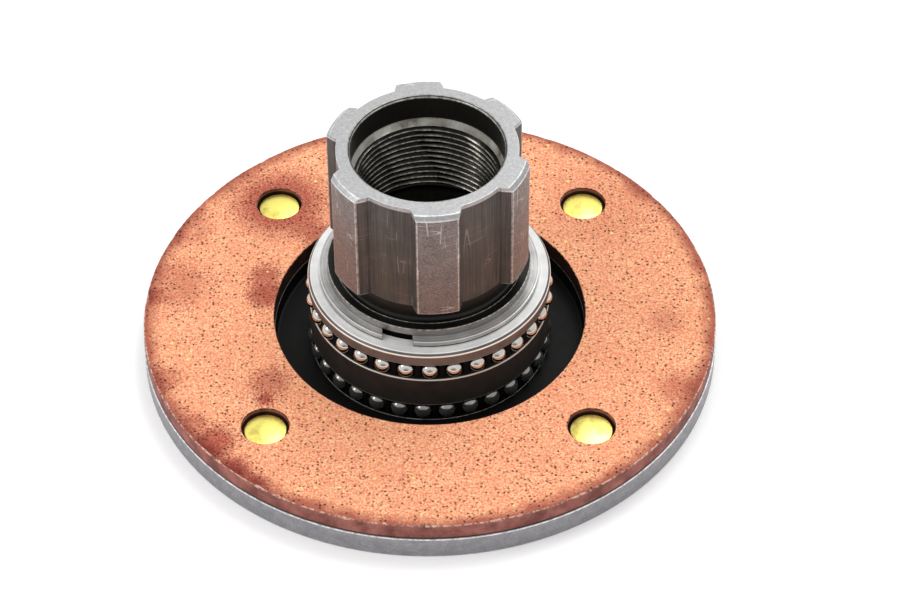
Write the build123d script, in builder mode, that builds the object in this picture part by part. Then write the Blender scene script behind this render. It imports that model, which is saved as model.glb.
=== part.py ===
from build123d import *
import os
from math import cos, radians, sin, sqrt

# Clutch hub: a steel flange with a riveted friction lining, a journal that carries two caged rows of
# balls for the clutch drum, and a boss with six keys for the inner driver. The origin is the centre
# of the flange's back face and +Z runs along the shaft axis, towards the boss. All sizes are in mm.

# Flange: the disc that carries the lining, and the recess that the drum's hub turns in
flange_thickness = 6.5
flange_edge_break = 0.4
web_thickness = 2.3
recess_corner = 1.0
shoulder_height = 0.55
drum_room = 8.55

# Friction lining: a moulded ring, riveted on through counterbored holes
lining_outer_radius = 76.2
lining_thickness = 4.8
lining_edge_break = 0.6
lining_inset = 0.3
lining_bore_step = 0.1

# Rivets: domed brass heads sunk under the lining's face, tails closed in countersinks at the back
rivet_count = 4
rivet_start_angle = 45.0
rivet_inset = 16.8
rivet_shank_radius = 2.4
rivet_fit = 0.02
rivet_head_radius = 5.5
rivet_head_edge = 1.2
rivet_head_height = 1.7
rivet_crown_radius = 3.4
rivet_tail_radius = 4.2
rivet_tail_sink = 0.25
rivet_pocket_room = 0.7
rivet_pocket_depth = 2.8

# Boss: six keys outside, a puller thread inside, a tapered shaft bore with a keyway below
thread_major_radius = 19.05
thread_length = 21.9
thread_lead_length = 2.0
counterbore_relief = 0.75
counterbore_depth = 7.6
mouth_chamfer = 0.5
boss_wall = 4.3
key_count = 6
key_start_angle = 36.0
key_height = 3.25
key_length = 33.5
key_tip_width = 10.4
key_root_width = 12.6
key_tip_chamfer = 1.05
neck_length = 5.05
neck_foot = 1.3
shaft_taper_large_radius = 13.5
shaft_taper_small_radius = 12.0
shaft_taper_length = 24.0
nut_pocket_radius = 17.2
keyway_width = 5.0
keyway_depth = 1.9

# Journal: the step under the keys, the land, the snap ring's groove and the washer's seat
step_height = 0.4
land_clearance_over_keys = 0.1
land_height = 2.05
land_edge_break = 0.2
groove_depth = 1.35
washer_seat_width = 1.35

# Bearing rows: two equal rows, each a cage with its balls, parted by a spacer band
ball_diameter = 4.7625
ball_count = 31
ball_running_clearance = 0.04
upper_row_angle = 270.7
lower_row_angle = 278.7
row_gap = 5.4
cage_height = 4.8
cage_reach = 0.8
cage_running_clearance = 0.25
cage_sleeve_thickness = 0.6
cage_rim_height = 0.5
pocket_clearance = 0.1
side_reach = 1.4
spacer_height = 9.4
spacer_fit = 0.02

# Retaining washer and snap ring
washer_thickness = 3.95
washer_fit = 0.05
washer_overhang = 0.15
washer_top_chamfer = 0.8
ring_thickness = 1.7
ring_radial_width = 3.6
ring_fit = 0.05
ring_side_clearance = 0.1
ring_gap_start = 242.3
ring_gap_end = 260.5
ring_start_slant = 3.6
ring_end_slant = 2.0

# Radii that follow
flange_radius = lining_outer_radius + lining_inset
root_radius = thread_major_radius + boss_wall
key_radius = root_radius + key_height
step_radius = root_radius + neck_foot
land_radius = key_radius + land_clearance_over_keys
groove_radius = land_radius - groove_depth
track_radius = land_radius + washer_seat_width
ball_radius = ball_diameter / 2
ball_pitch_radius = track_radius + ball_running_clearance + ball_radius
side_radius = ball_pitch_radius + side_reach
washer_radius = side_radius + washer_overhang
recess_radius = ball_pitch_radius + ball_radius + drum_room
lining_bore_radius = recess_radius + lining_bore_step
rivet_circle_radius = lining_outer_radius - rivet_inset
rivet_pocket_radius = rivet_head_radius + rivet_pocket_room
counterbore_radius = thread_major_radius + counterbore_relief
mouth_radius = counterbore_radius + mouth_chamfer

# Heights that follow, from the back face up
lining_top = flange_thickness + lining_thickness
rivet_seat = lining_top - rivet_pocket_depth
shoulder_top = web_thickness + shoulder_height
lower_row_middle = shoulder_top + row_gap / 2
spacer_bottom = shoulder_top + row_gap
spacer_top = spacer_bottom + spacer_height
upper_row_middle = spacer_top + row_gap / 2
washer_bottom = spacer_top + row_gap
washer_top = washer_bottom + washer_thickness
groove_top = washer_top + ring_thickness + ring_side_clearance
land_top = groove_top + land_height
step_top = land_top + step_height
key_bottom = step_top + neck_length
boss_top = key_bottom + key_length
counterbore_bottom = boss_top - counterbore_depth
thread_top = counterbore_bottom - thread_lead_length
thread_bottom = thread_top - thread_length
nut_seat = shaft_taper_length


def polar_point(radius, angle):
    """The point in the XY plane at this distance and angle from the shaft axis."""
    return radius * Vector(cos(radians(angle)), sin(radians(angle)))


# Hub: one forging, turned all over, with the keys milled round the boss
with BuildPart() as hub:
    with BuildSketch(Plane.XZ) as half_section:
        with BuildLine():
            Polyline(
                (shaft_taper_large_radius, 0),
                (flange_radius - flange_edge_break, 0),
                (flange_radius, flange_edge_break),
                (flange_radius, flange_thickness - flange_edge_break),
                (flange_radius - flange_edge_break, flange_thickness),
                (recess_radius, flange_thickness),
                (recess_radius, web_thickness + recess_corner),
                (recess_radius - recess_corner, web_thickness),
                (side_radius, web_thickness),
                (side_radius, shoulder_top),
                (track_radius, shoulder_top),
                (track_radius, washer_bottom),
                (land_radius, washer_bottom),
                (land_radius, washer_top),
                (groove_radius, washer_top),
                (groove_radius, groove_top),
                (land_radius, groove_top),
                (land_radius, land_top - land_edge_break),
                (land_radius - land_edge_break, land_top),
                (step_radius, land_top),
                (step_radius, step_top),
                (root_radius, step_top + neck_foot),
                (root_radius, boss_top),
                (mouth_radius, boss_top),
                (counterbore_radius, boss_top - mouth_chamfer),
                (counterbore_radius, counterbore_bottom),
                (thread_major_radius, thread_top),
                (thread_major_radius, thread_bottom),
                (nut_pocket_radius, thread_bottom),
                (nut_pocket_radius, nut_seat),
                (shaft_taper_small_radius, nut_seat),
                (shaft_taper_large_radius, 0),
            )
        make_face()
    revolve(axis=Axis.Z)

    # Keys: flat flanks that narrow towards a tip turned to the key radius
    with BuildSketch(Plane.XY.offset(key_bottom)) as keys:
        key_foot = root_radius - boss_wall / 3
        with PolarLocations(0, key_count, start_angle=key_start_angle):
            Polygon(
                (key_foot, -key_root_width / 2),
                (root_radius, -key_root_width / 2),
                (key_radius, -key_tip_width / 2),
                (key_radius, key_tip_width / 2),
                (root_radius, key_root_width / 2),
                (key_foot, key_root_width / 2),
                align=None,
            )
        Circle(key_radius, mode=Mode.INTERSECT)
    extrude(amount=key_length)
    tip_arcs = hub.edges().filter_by(GeomType.CIRCLE).group_by(Axis.Z)[-1]
    chamfer(tip_arcs.filter_by(lambda edge: edge.radius > root_radius + key_height / 2), key_tip_chamfer)

    # Shaft keyway, and the rivet holes with their countersinks at the back
    with BuildSketch(Plane.XY):
        with Locations((shaft_taper_large_radius / 2, 0)):
            Rectangle(shaft_taper_large_radius + 2 * keyway_depth, keyway_width)
    extrude(amount=shaft_taper_length, mode=Mode.SUBTRACT)
    with Locations(-Plane.XY):
        with PolarLocations(rivet_circle_radius, rivet_count, start_angle=rivet_start_angle):
            CounterSinkHole(
                rivet_shank_radius + rivet_fit,
                rivet_tail_radius + rivet_fit,
                depth=flange_thickness,
                counter_sink_angle=90,
            )

hub.part.label = "hub"
export_step(hub.part, "parts/hub.step")


# Friction lining, with a pocket for each rivet head
with BuildPart() as friction_lining:
    with BuildSketch(Plane.XY.offset(flange_thickness)):
        Circle(lining_outer_radius)
        Circle(lining_bore_radius, mode=Mode.SUBTRACT)
    extrude(amount=lining_thickness)
    rim = friction_lining.edges().group_by(Axis.Z)[-1].sort_by(SortBy.RADIUS)[-1]
    chamfer(rim, lining_edge_break)
    with Locations(Plane.XY.offset(lining_top)):
        with PolarLocations(rivet_circle_radius, rivet_count, start_angle=rivet_start_angle):
            CounterBoreHole(
                rivet_shank_radius + rivet_fit,
                rivet_pocket_radius,
                counter_bore_depth=rivet_pocket_depth,
                depth=lining_thickness,
            )

friction_lining.part.label = "friction_lining"
export_step(friction_lining.part, "parts/friction_lining.step")


def closed_rivet(angle):
    """A brass rivet at this angle of the rivet circle: domed head, shank and spread tail."""
    foot = polar_point(rivet_circle_radius, angle)
    cut_plane = Plane(origin=foot, x_dir=foot, z_dir=foot.cross(Vector(0, 0, 1)))
    with BuildPart() as rivet:
        with BuildSketch(cut_plane):
            with BuildLine():
                Polyline(
                    (0, rivet_seat + rivet_head_height),
                    (0, rivet_tail_sink),
                    (rivet_tail_radius - rivet_tail_sink, rivet_tail_sink),
                    (rivet_shank_radius, rivet_tail_radius - rivet_shank_radius),
                    (rivet_shank_radius, rivet_seat),
                    (rivet_head_radius, rivet_seat),
                    (rivet_head_radius, rivet_seat + rivet_head_edge),
                    (rivet_crown_radius, rivet_seat + rivet_head_height),
                    close=True,
                )
            make_face()
        revolve(axis=Axis(foot, (0, 0, 1)))
    return rivet.part


for number in range(rivet_count):
    rivet_part = closed_rivet(rivet_start_angle + number * 360 / rivet_count)
    rivet_part.label = f"rivet_{number + 1}"
    export_step(rivet_part, f"parts/rivet_{number + 1}.step")


def ball_cage(row_middle, row_angle):
    """A cage of one row: a thin sleeve with a window behind each ball, and a post between each two."""
    sleeve_inside = track_radius + cage_running_clearance
    sleeve_outside = sleeve_inside + cage_sleeve_thickness
    post_outside = ball_pitch_radius + cage_reach
    pocket_width = ball_diameter + 2 * pocket_clearance
    window_height = cage_height - 2 * cage_rim_height
    post_angle = row_angle + 180 / ball_count
    with BuildPart() as cage:
        with BuildSketch(Plane.XY.offset(row_middle)):
            RegularPolygon(post_outside, ball_count, major_radius=False, rotation=post_angle)
            RegularPolygon(
                sleeve_inside,
                ball_count,
                major_radius=False,
                rotation=post_angle,
                mode=Mode.SUBTRACT,
            )
        extrude(amount=cage_height / 2, both=True)
        with Locations((0, 0, row_middle)):
            with PolarLocations(sleeve_outside, ball_count, start_angle=row_angle):
                Box(
                    ball_diameter,
                    pocket_width,
                    cage_height,
                    align=(Align.MIN, Align.CENTER, Align.CENTER),
                    mode=Mode.SUBTRACT,
                )
            with PolarLocations(sleeve_outside, ball_count, start_angle=row_angle):
                Box(
                    2 * cage_sleeve_thickness,
                    window_height,
                    window_height,
                    align=(Align.MAX, Align.CENTER, Align.CENTER),
                    mode=Mode.SUBTRACT,
                )
    return cage.part


def ball_row(row_middle, row_angle):
    """The balls of one row: each a cube with its edges cut back until 26 flats stand round the ball."""
    with BuildPart() as ball:
        Box(ball_diameter, ball_diameter, ball_diameter)
        chamfer(ball.edges(), ball_diameter / (2 + sqrt(2)))
    with BuildPart() as balls:
        with Locations((0, 0, row_middle)):
            with PolarLocations(ball_pitch_radius, ball_count, start_angle=row_angle):
                add(ball.part)
    return balls.part


bearing_rows = {
    "lower": (lower_row_middle, lower_row_angle),
    "upper": (upper_row_middle, upper_row_angle),
}
for row_name, (row_middle, row_angle) in bearing_rows.items():
    cage_part = ball_cage(row_middle, row_angle)
    cage_part.label = f"{row_name}_cage"
    export_step(cage_part, f"parts/{row_name}_cage.step")
    balls_part = ball_row(row_middle, row_angle)
    balls_part.label = f"{row_name}_balls"
    export_step(balls_part, f"parts/{row_name}_balls.step")


# Spacer band: a plain ring pushed onto the track between the two rows
with BuildPart() as spacer_band:
    with BuildSketch(Plane.XY.offset(spacer_bottom)):
        Circle(side_radius)
        Circle(track_radius + spacer_fit, mode=Mode.SUBTRACT)
    extrude(amount=spacer_height)

spacer_band.part.label = "spacer_band"
export_step(spacer_band.part, "parts/spacer_band.step")


# Retaining washer: sits on the end of the track and closes the upper row
with BuildPart() as retaining_washer:
    with BuildSketch(Plane.XY.offset(washer_bottom)):
        Circle(washer_radius)
        Circle(land_radius + washer_fit, mode=Mode.SUBTRACT)
    extrude(amount=washer_thickness)
    upper_edge = retaining_washer.edges().group_by(Axis.Z)[-1].sort_by(SortBy.RADIUS)[-1]
    chamfer(upper_edge, washer_top_chamfer)

retaining_washer.part.label = "retaining_washer"
export_step(retaining_washer.part, "parts/retaining_washer.step")


# Snap ring: flat spring steel in the groove, its two ends cut on a slant
with BuildPart() as snap_ring:
    ring_inner_radius = groove_radius + ring_fit
    ring_outer_radius = ring_inner_radius + ring_radial_width
    ring_cut_radius = ring_outer_radius + ring_radial_width
    with BuildSketch(Plane.XY.offset(washer_top)):
        Circle(ring_outer_radius)
        Circle(ring_inner_radius, mode=Mode.SUBTRACT)
        with BuildLine():
            Polyline(
                polar_point(groove_radius, ring_gap_start),
                polar_point(ring_outer_radius, ring_gap_start + ring_start_slant),
                polar_point(ring_cut_radius, ring_gap_start + ring_start_slant),
                polar_point(ring_cut_radius, ring_gap_end + ring_end_slant),
                polar_point(ring_outer_radius, ring_gap_end + ring_end_slant),
                polar_point(groove_radius, ring_gap_end),
                close=True,
            )
        make_face(mode=Mode.SUBTRACT)
    extrude(amount=ring_thickness)

snap_ring.part.label = "snap_ring"
export_step(snap_ring.part, "parts/snap_ring.step")
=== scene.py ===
# %% [markdown]
# # A clutch hub, dressed for its photograph
#
# The object is the hub of a motorcycle's dry clutch: a steel flange with a riveted friction lining,
# two caged rows of balls on its journal, and a keyed boss with a thread in its bore. The engineering
# model arrives as a fixed frame. This script gives its visible surfaces their real shape and finish,
# then sets up the floor, the light and the camera.

# %% Load the frame and bake each piece's place into its points
from math import pi, radians

import bpy
import numpy as np
from mathutils import Matrix, Vector


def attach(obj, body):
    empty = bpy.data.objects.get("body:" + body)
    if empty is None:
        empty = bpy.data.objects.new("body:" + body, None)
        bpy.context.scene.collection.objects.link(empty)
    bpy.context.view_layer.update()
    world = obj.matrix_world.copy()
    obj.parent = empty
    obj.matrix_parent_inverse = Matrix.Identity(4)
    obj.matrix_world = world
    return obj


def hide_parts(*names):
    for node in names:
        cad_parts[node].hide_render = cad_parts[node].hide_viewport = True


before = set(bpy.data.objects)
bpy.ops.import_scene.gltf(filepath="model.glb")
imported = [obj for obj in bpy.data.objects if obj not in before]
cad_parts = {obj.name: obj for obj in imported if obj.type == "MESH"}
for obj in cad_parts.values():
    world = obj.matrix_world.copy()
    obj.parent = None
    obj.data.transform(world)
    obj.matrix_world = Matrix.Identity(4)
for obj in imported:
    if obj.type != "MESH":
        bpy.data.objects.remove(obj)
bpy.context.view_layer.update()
MM = 0.001
TURN = 2 * pi

# %% [markdown]
# ## Sizes
#
# The frame's own sizes come back here by name, in millimetres, because a surface that replaces a
# machined solid has to stand exactly where that solid stands. A real maker would read them off the
# drawing in the same way.

# %% Radii and heights from the drawing, in mm
flange_radius = 76.5
flange_top = 6.5
lining_radius = 76.2
lining_bore = 41.5
lining_top = 11.3
recess_radius = 41.4
recess_floor = 2.3
shoulder_radius = 31.87
shoulder_top = 2.85
track_radius = 28.05
land_radius = 26.7
groove_radius = 25.35
washer_bottom = 23.05
washer_top = 27.0
groove_top = 28.8
land_top = 30.85
step_top = 31.25
step_radius = 24.65
root_radius = 23.35
key_radius = 26.6
key_bottom = 36.3
boss_top = 69.8
rivet_circle = 59.4
rivet_angles = np.radians([45.0, 135.0, 225.0, 315.0])
print(f"the hub is {2 * flange_radius:.0f} mm across and {boss_top:.1f} mm high")

# %% [markdown]
# ## From a formula to a mesh
#
# Every new surface is a grid: rows along a profile and columns round an axis. The grids that make
# up one piece share their border points, so the points are merged by place and the piece comes out
# closed. Merging in numpy keeps it quick, and the volume's sign tells which way the faces point.

# %% Grids of triangles, and grids joined into one closed piece
def grid_triangles(rows, columns, wrap):
    """Two triangles for each cell of a rows by columns grid; wrap joins the last column to the first."""
    index = np.arange(rows * columns).reshape(rows, columns)
    if wrap:
        index = np.hstack([index, index[:, :1]])
    a, b = index[:-1, :-1].ravel(), index[:-1, 1:].ravel()
    c, d = index[1:, 1:].ravel(), index[1:, :-1].ravel()
    return np.stack([np.stack([a, b, c], 1), np.stack([a, c, d], 1)], 1).reshape(-1, 3)


def grid(points, wear, finish, wrap=True):
    """A patch: points is rows by columns by xyz in mm, wear a value per point, finish one value for all,
    a column of one per row of cells, or one per cell."""
    rows, columns = points.shape[:2]
    cells = (rows - 1, columns if wrap else columns - 1)
    return (
        points.reshape(-1, 3),
        np.broadcast_to(wear, (rows, columns)).ravel(),
        grid_triangles(rows, columns, wrap),
        np.repeat(np.broadcast_to(finish, cells).ravel(), 2),
    )


def merged(patches, width=1e-4, offset=0.37):
    """Patches as one set of points and triangles. Points in the same small cell of space become one. The
    offset, a share of the cells' width, keeps round sizes off the cells' borders."""
    starts = np.cumsum([0] + [len(patch[0]) for patch in patches[:-1]])
    points = np.vstack([patch[0] for patch in patches])
    wear = np.concatenate([patch[1] for patch in patches])
    triangles = np.vstack([patch[2] + start for patch, start in zip(patches, starts)])
    finish = np.concatenate([patch[3] for patch in patches])
    cells = np.floor(points / width + offset).astype(np.int64)
    _, first, place = np.unique(cells, axis=0, return_index=True, return_inverse=True)
    place = place.ravel()
    kept_wear = np.zeros(len(first))
    np.maximum.at(kept_wear, place, wear)
    triangles = place[triangles]
    a, b, c = triangles.T
    whole = (a != b) & (b != c) & (c != a)
    return points[first], kept_wear, triangles[whole], finish[whole]


# %% From patches to an object that rides on its body
def build_piece(name, patches, materials, body, node):
    """Merges the patches, turns the faces outwards by the sign of the volume, and hands the piece to its
    body, in place of the frame's node."""
    points, wear, triangles, finish = merged(patches)
    corners = points[triangles]
    volume = np.einsum("ij,ij->i", corners[:, 0], np.cross(corners[:, 1], corners[:, 2])).sum() / 6
    if volume < 0:
        triangles = triangles[:, ::-1]
    mesh = bpy.data.meshes.new(name)
    mesh.vertices.add(len(points))
    mesh.vertices.foreach_set("co", (points * MM).astype(np.float32).ravel())
    mesh.loops.add(triangles.size)
    mesh.loops.foreach_set("vertex_index", triangles.astype(np.int32).ravel())
    mesh.polygons.add(len(triangles))
    mesh.polygons.foreach_set("loop_start", np.arange(0, triangles.size, 3, dtype=np.int32))
    mesh.polygons.foreach_set("material_index", finish.astype(np.int32))
    mesh.update(calc_edges=True)
    mesh.attributes.new("wear", "FLOAT", "POINT").data.foreach_set("value", wear.astype(np.float32))
    mesh.shade_smooth()
    mesh.set_sharp_from_angle(angle=radians(32))
    for material in materials:
        mesh.materials.append(material)
    piece = bpy.data.objects.new(name, mesh)
    bpy.context.scene.collection.objects.link(piece)
    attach(piece, body)
    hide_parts(node)
    edges = np.vstack([triangles[:, [0, 1]], triangles[:, [1, 2]], triangles[:, [2, 0]]])
    used = np.unique(np.sort(edges, axis=1), axis=0, return_counts=True)[1]
    turned_over = len(edges) - len(np.unique(edges, axis=0))
    print(
        f"{name}: {len(triangles)} triangles, {abs(volume):.0f} mm3, "
        f"{(used != 2).sum()} open edges, {turned_over} edges between faces that disagree"
    )


# %% [markdown]
# ## Edges
#
# No machined edge is perfectly sharp. It is broken by a file or a tool, and then rubbed bright by
# handling, and that thin bright line is what makes a render look like metal. A bevel modifier could
# round the edges, but it can't tell a rubbed edge from a clean one. Here each profile's corners are
# rounded as they are drawn, and each carries its own share of wear as a value at its points.

# %% Rounded corners along a profile
def soften(corners, closed=False, steps=3, guard=0.12):
    """Rounds the corners of a line. A row is the corner's place, then how far the rounding reaches and
    the wear there. Between A and B on the two sides of corner C the curve is
    (1-t)^2 A + 2t(1-t) C + t^2 B, and a guard point just outside each end keeps the flats flat.
    Returns the places, the wear, and for each place the corner it came from."""
    table = np.asarray(corners, float)
    places, reaches, wears = table[:, :-2], table[:, -2], table[:, -1]
    out, wear, source = [], [], []
    for number, (corner, reach) in enumerate(zip(places, reaches)):
        at_end = not closed and number in (0, len(places) - 1)
        if at_end or reach == 0:
            out.append(corner[None])
            wear.append([wears[number]])
        else:
            to_last = places[number - 1] - corner
            to_next = places[(number + 1) % len(places)] - corner
            to_last /= np.linalg.norm(to_last)
            to_next /= np.linalg.norm(to_next)
            t = np.linspace(0, 1, steps + 1)[:, None]
            start, stop = corner + reach * to_last, corner + reach * to_next
            curve = (1 - t) ** 2 * start + 2 * t * (1 - t) * corner + t**2 * stop
            before, after = start + guard * to_last, stop + guard * to_next
            out.append(np.vstack([before, curve, after]))
            wear.append([0.0] + [wears[number]] * (steps + 1) + [0.0])
        source += [number] * len(out[-1])
    return np.vstack(out), np.concatenate(wear), np.array(source)


def polar(radius, angle, height):
    """Points in mm from radius, angle and height: x = r cos a, y = r sin a."""
    radius, angle, height = np.broadcast_arrays(radius, angle, height)
    return np.stack([radius * np.cos(angle), radius * np.sin(angle), height], -1)


def turned(corners, columns, finish=0, closed=True, centre=(0.0, 0.0)):
    """A patch turned about a vertical axis through centre, from a profile of radius, height, reach, wear."""
    profile, wear, source = soften(corners, closed)
    if closed:
        profile, wear = np.vstack([profile, profile[:1]]), np.append(wear, wear[0])
        source = np.append(source, source[0])
    angles = np.linspace(0, TURN, columns, endpoint=False)
    points = polar(profile[:, :1], angles, profile[:, 1:2]) + [*centre, 0.0]
    return grid(points, wear[:, None], np.broadcast_to(finish, len(corners))[source[:-1], None])


# %% [markdown]
# ## Colours and nodes
#
# A colour is written as it looks on the screen, as a hex value, and one function turns it to the
# linear numbers that the renderer works in. One more function adds a node. Everything else about a
# material is said where the material is made, so that each one can be read on its own.

# %% Hex colours, pattern sizes and the node helper
def linear(code):
    """An sRGB hex colour as linear red, green, blue and alpha."""
    srgb = np.array([int(code[place : place + 2], 16) for place in (1, 3, 5)]) / 255
    low, high = srgb / 12.92, ((srgb + 0.055) / 1.055) ** 2.4
    return (*np.where(srgb <= 0.04045, low, high).tolist(), 1.0)


def scale_of(size):
    """The texture scale whose features are this many mm across, on coordinates in metres."""
    return 1 / (size * MM)


def add_node(tree, kind, inputs=None, **settings):
    """Adds a node. Kind is its type without the word ShaderNode, and settings are its own properties. An
    input is a value, a socket to link, or a node, whose first output in use is linked."""
    node = tree.nodes.new(f"ShaderNode{kind}")
    for name, value in settings.items():
        setattr(node, name, value)
    for name, value in (inputs or {}).items():
        if isinstance(value, bpy.types.Node):
            value = next(output for output in value.outputs if output.enabled)
        if isinstance(value, bpy.types.NodeSocket):
            tree.links.new(value, node.inputs[name])
        else:
            node.inputs[name].default_value = value
    return node


def new_material(name):
    """An empty material, its tree, and the place in metres that its patterns are drawn on."""
    material = bpy.data.materials.new(name)
    material.use_nodes = True
    tree = material.node_tree
    tree.nodes.clear()
    return material, tree, add_node(tree, "TexCoord").outputs["Object"]


# %% [markdown]
# ## Steel that was turned, ground, milled and oiled
#
# The hub is one forging, but its surfaces look different because each was made and used in its own
# way. The rim was turned and is dulled by handling. The boss's end was ground. The keys were milled
# and then rubbed by the part that slides over them. The neck and the recess are black with old oil
# and lining dust. They all share a recipe: a steel in two tones, clouded by stains and by the marks
# of the tool, which also change its gloss and its relief, and a brighter steel where the wear value
# says that it is rubbed.

# %% One recipe for a machined steel surface
def machined_steel(
    name, clean, dirty, rubbed, roughness, cloud,
    streak=(0.3, 0.3, 0.3), marks=0.5, metal=0.6, scratch=0.0, gloss=0.5,
):
    """Steel in two tones, clouded over the given size in mm, with tool marks stretched over the streak
    sizes in mm. Marks is the tool marks' share in the tone, metal how metallic the dirty tone still is
    under its film, scratch how clearly thin scratches show, gloss how much the film itself reflects.
    Real tool marks are finer than 0.3 mm: they are drawn as coarse as they need to be to show."""
    material, tree, place = new_material(name)
    clouds = add_node(
        tree, "TexNoise", {"Vector": place, "Scale": scale_of(cloud), "Detail": 6.0, "Roughness": 0.66}
    )
    stretched = add_node(tree, "Mapping", {"Vector": place, "Scale": [scale_of(size) for size in streak]})
    tool_marks = add_node(
        tree, "TexNoise", {"Vector": stretched, "Scale": 1.0, "Detail": 4.0, "Roughness": 0.65}
    )
    mixed = add_node(tree, "Mix", {"Factor": marks, "A": clouds, "B": tool_marks}, data_type="FLOAT")
    tone = add_node(tree, "MapRange", {"Value": mixed, "From Min": 0.33, "From Max": 0.67})
    steel = add_node(tree, "Mix", {"Factor": tone, "A": linear(dirty), "B": linear(clean)}, data_type="RGBA")
    # Scratches: the level lines of a slow noise, long upright ones and long level ones, of which a
    # second noise lets only a few pieces show
    lines = []
    for reach in ((3.5, 3.5, 60.0), (22.0, 22.0, 2.6)):
        drawn_out = add_node(tree, "Mapping", {"Vector": place, "Scale": [scale_of(size) for size in reach]})
        slow = add_node(tree, "TexNoise", {"Vector": drawn_out, "Scale": 1.0, "Detail": 0.0})
        lines.append(add_node(tree, "Math", {0: slow, 1: 0.5, 2: 0.009}, operation="COMPARE"))
    line = add_node(tree, "Math", {0: lines[0], 1: lines[1]}, operation="MAXIMUM")
    breaks = add_node(tree, "TexNoise", {"Vector": place, "Scale": scale_of(6.0), "Detail": 1.0})
    pieces = add_node(tree, "MapRange", {"Value": breaks, "From Min": 0.52, "From Max": 0.62, "To Max": scratch})
    scratches = add_node(tree, "Math", {0: line, 1: pieces}, operation="MULTIPLY")
    # Rubbed edges: the wear value, nibbled by a 1 mm pattern
    worn = add_node(tree, "Attribute", attribute_name="wear").outputs["Fac"]
    nicks = add_node(tree, "TexNoise", {"Vector": place, "Scale": scale_of(1.0), "Detail": 3.0})
    nick_share = add_node(tree, "MapRange", {"Value": nicks, "From Min": 0.35, "From Max": 0.6, "To Min": 0.35})
    bright = add_node(
        tree, "Math", {0: worn, 1: nick_share, 2: scratches}, operation="MULTIPLY_ADD", use_clamp=True
    )
    colour = add_node(tree, "Mix", {"Factor": bright, "A": steel, "B": linear(rubbed)}, data_type="RGBA")
    rough = add_node(tree, "MapRange", {"Value": tone, "To Min": roughness + 0.1, "To Max": roughness - 0.06})
    metallic = add_node(tree, "MapRange", {"Value": tone, "To Min": metal, "To Max": min(metal + 0.25, 1.0)})
    bump = add_node(tree, "Bump", {"Height": tool_marks, "Distance": 0.02 * MM, "Strength": 0.5})
    shader = add_node(
        tree,
        "BsdfPrincipled",
        {
            "Base Color": colour,
            "Metallic": metallic,
            "Roughness": rough,
            "Specular IOR Level": gloss,
            "Normal": bump,
        },
    )
    add_node(tree, "OutputMaterial", {"Surface": shader})
    return material


# %% The hub's ten finishes
# Turned mild steel, dulled by handling: a blue-grey with fine mottling.
rim_steel = machined_steel("turned_steel_rim", "#a4a2a5", "#76757a", "#f0f0f0", 0.42, 2.4)
# The recess: steel black with old oil and lining dust, which drinks most of the light.
recess_steel = machined_steel(
    "dusty_recess_steel", "#161514", "#0d0d0c", "#b9b6b0", 0.48, 3.5, metal=0.2, gloss=0.15
)
# Oiled steel under lining dust: nearly black, with a soft sheen and thin bright edges.
oiled_steel = machined_steel("oiled_black_steel", "#1e1d1a", "#11110f", "#c4c1ba", 0.34, 3.5, metal=0.4)
# Milled steel on the keys' faces, rubbed by the driver: a warm sandy grey with a few long scratches.
key_steel = machined_steel(
    "milled_key_steel", "#948e8d", "#57504f", "#ebe6e4", 0.42, 2.5, (0.6, 0.6, 0.45), 0.7, 0.65, 0.4
)
# Milled steel between the keys: dark, streaked along the cutter's way.
root_steel = machined_steel(
    "milled_root_steel", "#625e5b", "#3c3836", "#bdb8b4", 0.42, 6.0, (0.5, 0.5, 22.0), 0.7, 0.5, 0.25
)
# Ground steel on the boss's end: pale and even, with a few fine scratches.
ground_steel = machined_steel(
    "ground_steel", "#bababb", "#909091", "#f4f4f4", 0.42, 0.8, metal=0.75, scratch=0.2
)
# Bored steel in the mouth and below the thread: dark with old oil.
bored_steel = machined_steel("bored_steel", "#46443f", "#262521", "#dedcd6", 0.32, 2.5, (0.4, 0.4, 6.0), 0.6)
# The bored lead of the thread: olive-grey steel with near-white patches, partly steel wiped clean and partly
# painted highlight.
cone_steel = machined_steel(
    "bored_lead_steel", "#fdfbf4", "#706a55", "#f8f6f2", 0.24, 5.0, marks=0.1, metal=0.2
)
# Cut thread, wet with oil: nearly black, and olive grey along its crests, where the pale colour is partly rubbed
# steel and partly a painted highlight.
thread_steel = machined_steel(
    "cut_thread_steel", "#23211d", "#080706", "#cfccc0", 0.16, 1.2, (1.5, 1.5, 0.3), 0.4, 0.8, gloss=0.2
)
# The land's turned wall above the groove: clean grey.
land_steel = machined_steel("turned_land_steel", "#a5a3a1", "#7f7d7b", "#d8d6d2", 0.36, 2.0, metal=0.8)
hub_finishes = [
    rim_steel, recess_steel, oiled_steel, key_steel, root_steel,
    ground_steel, bored_steel, cone_steel, thread_steel, land_steel,
]
RIM, RECESS, OILED, KEYED, ROOT, GROUND, BORED, CONE, THREADED, LAND = range(10)
print(f"{len(hub_finishes)} finishes for one forging")

# %% [markdown]
# ## The outline of the keys
#
# Six keys stand round the boss. Their flanks are flat, so in plan a key is a short line up, an arc,
# and a line down. The hub is made of rings, and each ring is a circle that is pushed out where a key
# stands. A column's share says how far: 0 at the root circle and 1 at the tip circle.

# %% One key in plan, as half of its outline
key_half_root, key_half_tip = 6.3, 5.2
first_key, key_pitch = 36.0, 60.0
key_angles = np.radians(first_key + key_pitch * np.arange(6))
half_pitch = radians(key_pitch / 2)
flank_share = np.linspace(0, 1, 40)
flank_x = root_radius + flank_share * (key_radius - root_radius)
flank_y = key_half_root + flank_share * (key_half_tip - key_half_root)
flank_radii, flank_angles = np.hypot(flank_x, flank_y), np.arctan2(flank_y, flank_x)
tip_angle = np.interp(key_radius, flank_radii, flank_angles)
foot_angle = np.arcsin(key_half_root / root_radius)

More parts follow.
